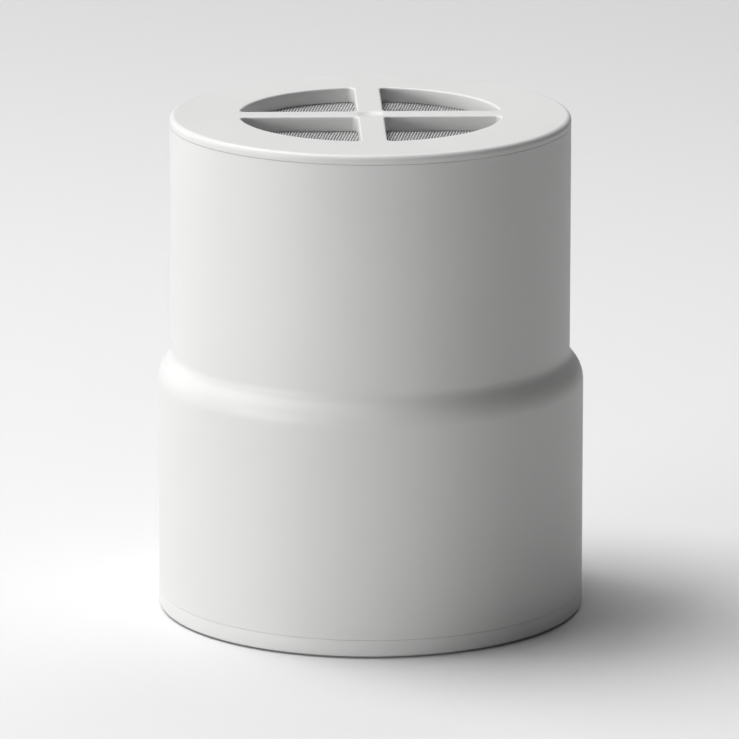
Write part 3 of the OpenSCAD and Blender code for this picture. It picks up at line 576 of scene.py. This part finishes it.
class Shape:
    """Points and faces of one piece, built up loop by loop."""

    def __init__(self):
        self.points = []
        self.faces = []

    def loop(self, points):
        first = len(self.points)
        self.points.extend(Vector(p) for p in points)
        return list(range(first, len(self.points)))

    def bridge(self, first, second):
        """Quads between two closed loops of the same length."""
        for i in range(len(first)):
            j = (i + 1) % len(first)
            self.faces.append((first[i], first[j], second[j], second[i]))

    def chain(self, loops):
        for first, second in zip(loops, loops[1:]):
            self.bridge(first, second)

    def cap(self, loop):
        """Closes a loop with a fan about its middle."""
        middle = self.loop([sum((self.points[i] for i in loop), Vector()) / len(loop)])[0]
        for i in range(len(loop)):
            self.faces.append((loop[i], loop[(i + 1) % len(loop)], middle))

    def fill(self, outer, holes):
        """A level face between an outer loop and some holes."""
        loops = [outer, *holes]
        flat_loops = [[tuple(self.points[i].xy) for i in loop] for loop in loops]
        flat, edges = [], []
        for loop in flat_loops:
            first = len(flat)
            flat.extend(Vector(p) for p in loop)
            edges.extend((first + i, first + (i + 1) % len(loop)) for i in range(len(loop)))
        index = [i for loop in loops for i in loop]
        places, _, faces, origins, _, _ = delaunay_2d_cdt(flat, edges, [], 0, 1e-9)
        for face in faces:
            middle = sum((places[i] for i in face), Vector((0.0, 0.0))) / len(face)
            if inside(middle, flat_loops[0]) and not any(inside(middle, hole) for hole in flat_loops[1:]):
                self.faces.append(tuple(index[origins[i][0]] for i in face))

    def rings(self, profile, segments):
        """Revolves (radius, height) points about the upright axis, joined in order."""
        loops = []
        for radius, height in profile:
            loops.append(self.loop(
                (radius * math.cos(t), radius * math.sin(t), height)
                for t in (2.0 * math.pi * k / segments for k in range(segments))
            ))
        self.chain(loops)
        return loops

    def solid(self, profile, segments):
        """Revolves a closed outline that doesn't touch the axis."""
        loops = self.rings(profile, segments)
        self.bridge(loops[-1], loops[0])

    def move(self, matrix, first):
        """Moves the points that were added from number first on."""
        for i in range(first, len(self.points)):
            self.points[i] = matrix @ self.points[i]

    def push(self, distance, turn, first):
        """Moves those points out from the middle, in the direction of a turn."""
        self.move(Matrix.Translation((distance * math.cos(turn), distance * math.sin(turn), 0.0)), first)

    def piece(self, name, node):
        """Makes the object: it stands for a CAD node, rides on its body and takes its finish."""
        mesh = bpy.data.meshes.new(name)
        mesh.from_pydata(self.points, [], self.faces)
        work = bmesh.new()
        work.from_mesh(mesh)
        bmesh.ops.recalc_face_normals(work, faces=work.faces)
        work.to_mesh(mesh)
        work.free()
        mesh.shade_smooth()
        mesh.set_sharp_from_angle(angle=SHARP_EDGE)
        return adopt(bpy.data.objects.new(name, mesh), node)


def adopt(piece, node):
    """Links a piece, gives it its CAD node's finish, and lets it ride with the node's body."""
    if piece.name not in bpy.context.scene.collection.objects:
        bpy.context.scene.collection.objects.link(piece)
    piece.data.materials.clear()
    piece.data.materials.append(finish_for(slot_of(node)))
    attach(piece, body_of(node))
    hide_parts(node)
    return piece


# ---------- pieces ----------


def quadrant(cover, grow, steps=10, rim_steps=56):
    """Outline of one opening of the cross in the first quarter, moved outwards by grow."""
    side = cover.bar_width / 2.0 - grow
    outlet = cover.outlet_radius + grow
    corner = cover.corner_radius + grow
    near = side + corner
    far = math.sqrt((outlet - corner) ** 2 - near ** 2)
    lean = math.degrees(math.atan2(near, far))
    return [
        *arc((near, near), corner, 180.0, 270.0, steps),
        *arc((far, near), corner, -90.0, lean, steps),
        *arc((0.0, 0.0), outlet, lean, 90.0 - lean, rim_steps)[1:-1],
        *arc((near, far), corner, 90.0 - lean, 180.0, steps),
    ]


def turned(points, quarter, height):
    """Flat points turned by quarters and lifted to a height."""
    c, s = ((1, 0), (0, 1), (-1, 0), (0, -1))[quarter]
    return [(c * x - s * y, s * x + c * y, height) for x, y in points]


class PURIFIER_OT_cover(bpy.types.Operator):
    """Builds the top cover with its rounded edge, cross and dimple"""

    bl_idname = "purifier.cover"
    bl_label = "Top cover"

    def execute(self, context):
        cover = context.scene.purifier_cover
        head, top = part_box("top_cover")[1].x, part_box("top_cover")[1].z
        lip = top - cover.outlet_depth
        margin = 0.05 * MM
        shape = Shape()

        edge = arc((head - cover.edge_radius, top - cover.edge_radius), cover.edge_radius, 90.0, 0.0, 12)
        foot = top - cover.edge_height
        lip_foot = foot - cover.seam_cover
        skirt = head - cover.shell_wall - cover.clearance
        seat = skirt - cover.seal_depth
        seal = foot - cover.skirt_height / 2.0 + cover.seal_lift
        groove = cover.seal_height / 2.0
        skirt_foot = foot - cover.skirt_height
        seam_end = head - cover.seam_lip
        under = top - cover.plate
        wall = cover.outlet_radius + cover.collar
        outside = shape.rings([
            (head - cover.edge_radius - margin, top), *edge,
            *arc((head - cover.seam_cover, lip_foot + cover.seam_cover), cover.seam_cover, 0.0, -90.0, 4),
            (seam_end, lip_foot), (seam_end, foot), (skirt, foot),
            (skirt, seal + groove), (seat, seal + groove), (seat, seal - groove), (skirt, seal - groove),
            (skirt, skirt_foot + cover.skirt_chamfer), (skirt - cover.skirt_chamfer, skirt_foot),
            (skirt - cover.skirt_wall, skirt_foot),
            (skirt - cover.skirt_wall, under), (wall, under), (wall, lip),
        ], cover.segments)

        top_holes, lip_holes = [], []
        for quarter in range(4):
            rounding = [
                (cover.lip_radius * (1.0 - math.sin(t)), cover.lip_radius * (1.0 - math.cos(t)))
                for t in (math.radians(15.0 * k) for k in range(7))
            ]
            loops = [shape.loop(turned(quadrant(cover, cover.lip_radius + margin), quarter, top))]
            for grow, drop in rounding:
                loops.append(shape.loop(turned(quadrant(cover, grow), quarter, top - drop)))
            loops.append(shape.loop(turned(quadrant(cover, 0.0), quarter, lip)))
            shape.chain(loops)
            top_holes.append(loops[0])
            lip_holes.append(loops[-1])

        bowl = (cover.dimple_radius ** 2 + cover.dimple_depth ** 2) / (2.0 * cover.dimple_depth)
        rim = 0.25 * MM
        dish = [(cover.dimple_radius + rim, top), (cover.dimple_radius + rim * 0.4, top - 0.02 * MM)]
        for k in range(12):
            radius = (cover.dimple_radius - rim * 0.2) * (1.0 - k / 12.0)
            dish.append((radius, top - cover.dimple_depth + bowl - math.sqrt(bowl ** 2 - radius ** 2)))
        dish_loops = shape.rings(dish, DISH_SEGMENTS)
        shape.cap(dish_loops[-1])

        shape.fill(outside[0], [*top_holes, dish_loops[0]])
        shape.fill(outside[-1], lip_holes)

        seat_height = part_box("mesh_retainer")[1].z
        for quarter in range(4):
            first = len(shape.points)
            boss = shape.rings([
                (cover.boss_radius, under), (cover.boss_radius, seat_height),
                (cover.boss_hole, seat_height), (cover.boss_hole, under - cover.boss_floor),
            ], SCREW_SEGMENTS)
            shape.cap(boss[0])
            shape.cap(boss[-1])
            shape.push(cover.boss_place, EIGHTH + QUARTER * quarter, first)
        shape.piece("top_cover_fine", "top_cover")
        return {"FINISHED"}


class PURIFIER_OT_base(bpy.types.Operator):
    """Builds the base with its soft upper edge, magnet posts and foot groove"""

    bl_idname = "purifier.base"
    bl_label = "Base"

    def execute(self, context):
        base = context.scene.purifier_base
        low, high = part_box("base_tray")
        body, bottom, rim = high.x, low.z, low.z + base.height
        bore = body - base.wall - base.clearance
        inner = bore - base.wall
        deck = bottom + base.floor
        soft = context.scene.purifier_cover.seam_cover
        seam_end = body - context.scene.purifier_cover.seam_lip
        locator_bore = base.locator_radius - base.locator_wall
        shape = Shape()
        rings = shape.rings([
            (1.0 * MM, bottom), (base.foot_inner, bottom), (base.foot_inner, bottom + base.foot_groove),
            (base.foot_outer, bottom + base.foot_groove), (base.foot_outer, bottom),
            *arc((body - base.edge_radius, bottom + base.edge_radius), base.edge_radius, -90.0, 0.0, 10),
            *arc((body - soft, rim), soft, 0.0, 90.0, 4), (seam_end, rim + soft), (seam_end, rim),
            (bore, rim), (bore, high.z - base.spigot_chamfer), (bore - base.spigot_chamfer, high.z),
            (inner, high.z), (inner, deck), (base.locator_radius, deck),
            (base.locator_radius, base.locator_height), (locator_bore, base.locator_height),
            (locator_bore, deck), (1.0 * MM, deck),
        ], base.segments)
        shape.cap(rings[0])
        shape.cap(rings[-1])
        top = high.z - base.post_drop
        for quarter in range(4):
            first = len(shape.points)
            post = shape.rings([
                (base.magnet_radius, top - base.magnet_depth), (base.magnet_radius, top),
                (base.post_radius - base.post_chamfer, top), (base.post_radius, top - base.post_chamfer),
                (base.post_radius, deck),
            ], POST_SEGMENTS)
            shape.cap(post[0])
            shape.cap(post[-1])
            shape.push(base.post_place, EIGHTH + QUARTER * quarter, first)
        shape.piece("base_tray_fine", "base_tray")
        return {"FINISHED"}


def blade_section(radius, low, high, lean, thick, steps):
    """Closed outline of a curved blade at one radius: up one side and down the other.

    The blade turns fastest at its foot, and is thickest halfway up.
    """
    outline = []
    for side in (-1.0, 1.0):
        rows = [k / steps for k in range(steps + 1)]
        for v in rows if side < 0 else rows[::-1]:
            turn = lean * (1.5 * v - 0.5 * v * v)
            fullness = math.sin(math.pi * min(max(v, 0.04), 0.96))
            half = side * thick / 2.0 * (BLADE_END + (1.0 - BLADE_END) * fullness)
            c, s = math.cos(turn), math.sin(turn)
            outline.append((radius * c - half * s, radius * s + half * c, low + (high - low) * v))
    return outline


def blades(shape, count, radii, heights, leans, thick, stations=10, steps=18):
    """Curved blades round the upright axis, between two radii."""
    for number in range(count):
        first = len(shape.points)
        loops = []
        for k in range(stations + 1):
            u = k / stations
            lean = leans[0] + (leans[1] - leans[0]) * u
            radius = radii[0] + (radii[1] - radii[0]) * u
            loops.append(shape.loop(blade_section(radius, *heights, lean, thick, steps)))
        shape.chain(loops)
        shape.cap(loops[0])
        shape.cap(loops[-1])
        shape.move(Matrix.Rotation(2.0 * math.pi * number / count, 4, "Z"), first)


class PURIFIER_OT_fan(bpy.types.Operator):
    """Builds the impeller and the guide vane ring with smooth, curved blades"""

    bl_idname = "purifier.fan"
    bl_label = "Fan"

    def execute(self, context):
        fan = context.scene.purifier_fan
        soft = fan.edge
        low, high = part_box("impeller")
        cup = fan.hub_radius - fan.hub_wall
        rotor = Shape()
        rotor.solid([
            (fan.shaft_radius, low.z + soft), (fan.shaft_radius + soft, low.z),
            *arc((fan.hub_radius - fan.nose_radius, low.z + fan.nose_radius), fan.nose_radius, -90.0, 0.0, 6),
            (fan.hub_radius, high.z - soft), (fan.hub_radius - soft, high.z), (cup, high.z),
            (cup, low.z + fan.hub_floor), (fan.shaft_radius, low.z + fan.hub_floor),
        ], HUB_SEGMENTS)
        blades(rotor, fan.blades, (fan.hub_radius - fan.root, fan.tip_radius),
               (low.z + fan.blade_low, high.z - fan.blade_high), (fan.blade_lean, fan.tip_lean),
               fan.blade_thick)
        rotor.piece("impeller_fine", "impeller")

        low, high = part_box("guide_vanes")
        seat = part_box("fan_duct")[1].z
        plate = seat + fan.motor_plate
        ring = Shape()
        outer = fan.duct_radius + fan.duct_wall
        ring.solid([
            (fan.duct_radius, seat), (outer, seat), (outer, high.z), (fan.duct_radius, high.z),
        ], DUCT_SEGMENTS)
        tube = fan.bearing_radius + fan.tube_wall
        ring.solid([
            (fan.bearing_radius, low.z), (tube, low.z), (tube, seat), (fan.hub_radius - soft, seat),
            (fan.hub_radius, seat + soft), (fan.hub_radius, high.z), (cup, high.z), (cup, plate),
            (fan.bearing_radius, plate),
        ], HUB_SEGMENTS)
        blades(ring, fan.vanes, (fan.hub_radius - fan.root, fan.duct_radius + fan.root),
               (seat + fan.vane_low, high.z - fan.blade_high), (fan.vane_lean, fan.rim_lean), fan.vane_thick)
        ear_top = seat + fan.ear_height
        for quarter in range(4):
            first = len(ring.points)
            ring.solid([
                (fan.ear_hole, seat), (fan.ear_radius, seat), (fan.ear_radius, ear_top - soft),
                (fan.ear_radius - soft, ear_top), (fan.ear_hole, ear_top),
            ], SCREW_SEGMENTS)
            ring.push(outer + fan.ear_place, fan.ear_turn + QUARTER * quarter, first)
        ring.piece("guide_vanes_fine", "guide_vanes")
        return {"FINISHED"}


def wire_tree():
    """Parallel wavy wires along Y, cut to a disc and turned."""
    tree = bpy.data.node_groups.new("woven_wires", "GeometryNodeTree")
    tree.interface.new_socket("Geometry", in_out="OUTPUT", socket_type="NodeSocketGeometry")
    for label, kind in (
        ("Radius", "Float"), ("Pitch", "Float"), ("Wire", "Float"), ("Steps", "Int"), ("Sides", "Int"),
        ("Rise", "Float"), ("Turn", "Float"), ("Height", "Float"), ("Material", "Material"),
    ):
        tree.interface.new_socket(label, in_out="INPUT", socket_type="NodeSocket" + kind)
    given = add_node(tree, "NodeGroupInput", {}, {})

    def value(name):
        return Value(tree, given.outputs[name])

    def made(kind, sockets, **settings):
        return output(tree, kind, settings, sockets)

    def vector(**parts):
        return made("ShaderNodeCombineXYZ", parts)

    half_count = (value("Radius") / value("Pitch")).math("FLOOR")
    reach = half_count * value("Pitch")
    line = made("GeometryNodeCurvePrimitiveLine", {"Start": vector(Y=-reach), "End": vector(Y=reach)})
    wire = made("GeometryNodeResampleCurve", {
        "Curve": line, "Count": half_count * 2.0 * value("Steps") + 1.0,
    })
    row = made("GeometryNodeMeshLine", {
        "Count": half_count * 2.0 + 1.0, "Start Location": vector(X=-reach), "Offset": vector(X=reach),
    }, mode="END_POINTS")
    copies = made("GeometryNodeInstanceOnPoints", {"Points": row, "Instance": wire})
    wires = made("GeometryNodeRealizeInstances", {0: copies})

    parts = add_node(tree, "ShaderNodeSeparateXYZ", {}, {0: made("GeometryNodeInputPosition", {})})
    x, y = Value(tree, parts.outputs["X"]), Value(tree, parts.outputs["Y"])
    wave = (x * math.pi / value("Pitch")).math("COSINE") * (y * math.pi / value("Pitch")).math("COSINE")
    waved = made("GeometryNodeSetPosition", {"Geometry": wires, "Offset": vector(Z=wave * value("Rise"))})
    out_of_disc = (x * x + y * y).math("GREATER_THAN", value("Radius") * value("Radius"))
    disc = made("GeometryNodeDeleteGeometry", {"Geometry": waved, "Selection": out_of_disc}, domain="POINT")

    section = made("GeometryNodeCurvePrimitiveCircle", {
        "Resolution": value("Sides"), "Radius": value("Wire") * 0.5,
    })
    tube = made("GeometryNodeCurveToMesh", {"Curve": disc, "Profile Curve": section, "Fill Caps": True})
    smooth = made("GeometryNodeSetShadeSmooth", {0: tube})
    placed = made("GeometryNodeTransform", {
        "Geometry": smooth, "Rotation": vector(Z=value("Turn")), "Translation": vector(Z=value("Height")),
    })
    real = made("GeometryNodeRealizeInstances", {0: placed})
    painted = made("GeometryNodeSetMaterial", {"Geometry": real, "Material": value("Material")})
    add_node(tree, "NodeGroupOutput", {}, {0: painted})
    return tree


def grown(name, tree, values):
    """Runs a geometry node tree with the named values and returns its result as a plain mesh object."""
    carrier = bpy.data.objects.new(name + "_carrier", bpy.data.meshes.new(name + "_carrier"))
    bpy.context.scene.collection.objects.link(carrier)
    modifier = carrier.modifiers.new("Grow", "NODES")
    modifier.node_group = tree
    sockets = {s.name: s.identifier for s in tree.interface.items_tree if s.in_out == "INPUT"}
    for label, value in values.items():
        modifier[sockets[label]] = value
    context = bpy.context.evaluated_depsgraph_get()
    mesh = bpy.data.meshes.new_from_object(carrier.evaluated_get(context))
    bpy.data.objects.remove(carrier)
    if not mesh.polygons:
        raise RuntimeError(f"{name}: the geometry nodes made nothing")
    mesh.name = name
    return bpy.data.objects.new(name, mesh)


class PURIFIER_OT_outlet_mesh(bpy.types.Operator):
    """Weaves the outlet mesh from two sets of wavy wires"""

    bl_idname = "purifier.outlet_mesh"
    bl_label = "Outlet mesh"

    def execute(self, context):
        weave = context.scene.purifier_mesh
        low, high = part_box("outlet_mesh")
        tree = wire_tree()
        for name, wire, rise, turn in (
            ("warp_wires", weave.warp, weave.weft / 2.0, 0.0),
            ("weft_wires", weave.weft, -weave.warp / 2.0, QUARTER),
        ):
            wires = grown(name, tree, {
                "Radius": weave.radius, "Pitch": weave.pitch, "Wire": wire, "Rise": rise,
                "Steps": weave.steps, "Sides": weave.sides, "Turn": weave.turn + turn,
                "Height": high.z - weave.warp / 2.0 - weave.weft, "Material": finish_for("mesh_fabric"),
            })
            adopt(wires, "outlet_mesh")
        return {"FINISHED"}


class PURIFIER_OT_finishes(bpy.types.Operator):
    """Gives every CAD node that still shows the finish of its record slot"""

    bl_idname = "purifier.finishes"
    bl_label = "Finishes"

    def execute(self, context):
        for name, node in frame["nodes"].items():
            for place in node.material_slots:
                place.material = finish_for(slot_of(name))
        return {"FINISHED"}


# ---------- stage ----------


def softbox(name, bearing, height, distance, size, power, target):
    """A large rectangular light, bearing degrees round from the front and height degrees up."""
    lamp = bpy.data.lights.new(name, "AREA")
    lamp.shape = "RECTANGLE"
    lamp.size, lamp.size_y = size
    lamp.energy = power
    light = bpy.data.objects.new(name, lamp)
    bpy.context.scene.collection.objects.link(light)
    a, e = math.radians(bearing), math.radians(height)
    away = Vector((math.sin(a) * math.cos(e), -math.cos(a) * math.cos(e), math.sin(e)))
    light.location = target + away * distance
    light.rotation_euler = away.to_track_quat("Z", "Y").to_euler()
    return light


class PURIFIER_OT_stage(bpy.types.Operator):
    """Sets the floor, lights and camera"""

    bl_idname = "purifier.stage"
    bl_label = "Stage"

    def execute(self, context):
        scene, stage = context.scene, context.scene.purifier_stage
        target = Vector((0.0, 0.0, stage.target_height))

        floor_look = Finish("studio_floor")
        # Painted shade: the floor's colour darkens towards the back in place of the light falling off.
        shade = floor_look.axes()[1].step(0.1, 1.4)
        floor_look.set("Base Color", floor_look.mix(shade, tuple(stage.floor), tuple(stage.backdrop)))
        floor_look.set("Roughness", 0.75)
        floor_look.bump(floor_look.noise(900.0, 2.0), 0.01 * MM)
        reach = FLOOR_REACH
        mesh = bpy.data.meshes.new("floor")
        mesh.from_pydata([(-reach, -reach, 0), (reach, -reach, 0), (reach, reach, 0), (-reach, reach, 0)], [],
                         [(0, 1, 2, 3)])
        mesh.materials.append(floor_look.material)
        floor = bpy.data.objects.new("floor", mesh)
        scene.collection.objects.link(floor)

        world = bpy.data.worlds.new("studio")
        world.use_nodes = True
        world.node_tree.nodes["Background"].inputs["Color"].default_value = (1.0, 1.0, 1.0, 1.0)
        world.node_tree.nodes["Background"].inputs["Strength"].default_value = stage.ambient
        scene.world = world

        for name, bearing, height, size, power in (
            ("key", -110.0, 64.0, (2.2, 2.2), stage.key),
            ("top", 0.0, 88.0, (2.6, 2.6), stage.top),
            ("fill", -58.0, 9.0, (2.0, 0.8), stage.fill),
            ("front", -20.0, 9.0, (2.0, 0.8), stage.front),
            ("side", -132.0, 12.0, (2.0, 0.8), stage.side),
            ("back", 180.0, 48.0, (2.2, 2.2), stage.back),
            ("back_right", 145.0, 52.0, (2.2, 2.2), stage.right),
        ):
            softbox(name, bearing, height, stage.light_distance, size, power, target)

        camera = bpy.data.cameras.new("camera")
        camera.lens = stage.lens
        camera.sensor_width = SENSOR_WIDTH
        camera.shift_x = stage.side_shift
        camera.clip_end = 100.0
        eye = bpy.data.objects.new("camera", camera)
        scene.collection.objects.link(eye)
        a, e = stage.azimuth, stage.elevation
        away = Vector((math.sin(a) * math.cos(e), -math.cos(a) * math.cos(e), math.sin(e)))
        eye.location = target + away * stage.distance
        eye.rotation_euler = away.to_track_quat("Z", "Y").to_euler()
        scene.camera = eye
        scene.view_settings.view_transform = "Standard"
        return {"FINISHED"}


# ---------- add-on ----------


class PURIFIER_PT_panel(bpy.types.Panel):
    """Buttons and settings, in the 3D view's sidebar"""

    bl_idname = "PURIFIER_PT_panel"
    bl_label = "Air purifier"
    bl_space_type = "VIEW_3D"
    bl_region_type = "UI"
    bl_category = "Purifier"

    def draw(self, context):
        for operator in OPERATORS:
            self.layout.operator(operator.bl_idname)
        for group in SETTINGS:
            box = self.layout.box()
            box.label(text=group.__doc__)
            settings = getattr(context.scene, group_name(group))
            for key in group.__annotations__:
                box.prop(settings, key)


OPERATORS = (
    PURIFIER_OT_cover,
    PURIFIER_OT_base,
    PURIFIER_OT_fan,
    PURIFIER_OT_outlet_mesh,
    PURIFIER_OT_finishes,
    PURIFIER_OT_stage,
)
SETTINGS = (CoverSettings, MeshSettings, BaseSettings, FanSettings, FinishSettings, StageSettings)


def group_name(group):
    """Where a settings group is kept on the scene, such as purifier_cover."""
    return "purifier_" + group.__name__.removesuffix("Settings").lower()


def register():
    for cls in (*SETTINGS, *OPERATORS, PURIFIER_PT_panel):
        bpy.utils.register_class(cls)
    for group in SETTINGS:
        setattr(bpy.types.Scene, group_name(group), PointerProperty(type=group))


def unregister():
    for group in SETTINGS:
        delattr(bpy.types.Scene, group_name(group))
    for cls in reversed((*SETTINGS, *OPERATORS, PURIFIER_PT_panel)):
        bpy.utils.unregister_class(cls)


def main():
    register()
    for step in ("cover", "base", "fan", "outlet_mesh", "finishes", "stage"):
        getattr(bpy.ops.purifier, step)()


if __name__ == "__main__":
    main()
